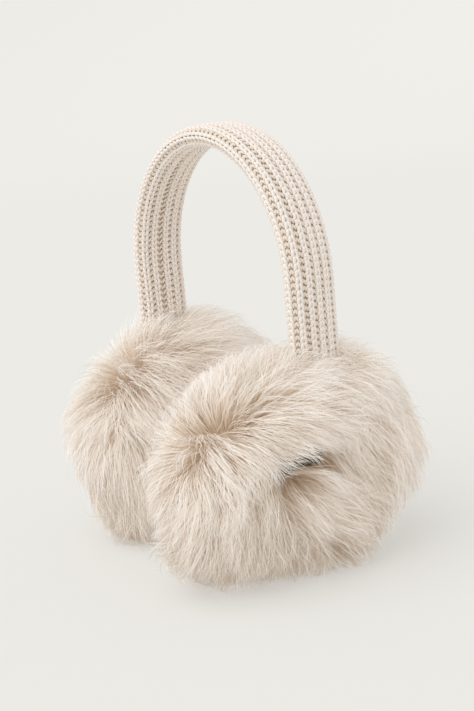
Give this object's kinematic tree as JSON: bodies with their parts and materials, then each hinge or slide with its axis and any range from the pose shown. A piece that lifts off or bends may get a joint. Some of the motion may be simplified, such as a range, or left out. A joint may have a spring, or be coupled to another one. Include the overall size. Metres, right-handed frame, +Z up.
{
  "type": "fur earmuffs",
  "caption": "Fur earmuffs: a flat padded rib-knit headband bent in an arch, with a big round pad of deep fur at each end, standing on the pads.",
  "frame": {"origin": "middle of the base, on the surface the pads stand on", "axes": "+X from ear to ear towards the right pad, +Y towards the back of the head, +Z up along the arch"},
  "size_m": [0.2075, 0.178, 0.2562],
  "materials": {
    "rib_knit": "matte ribbed knit in a pale beige yarn",
    "deep_fur": "long soft fur, tan at the roots and cream at the tips",
    "fur_backing": "dark matte backing that shows only in the deep fold"
  },
  "bodies": {
    "root": {"knit_headband": "rib_knit", "fur_pad_left": "deep_fur", "fur_pad_right": "deep_fur"}
  },
  "joints": []
}
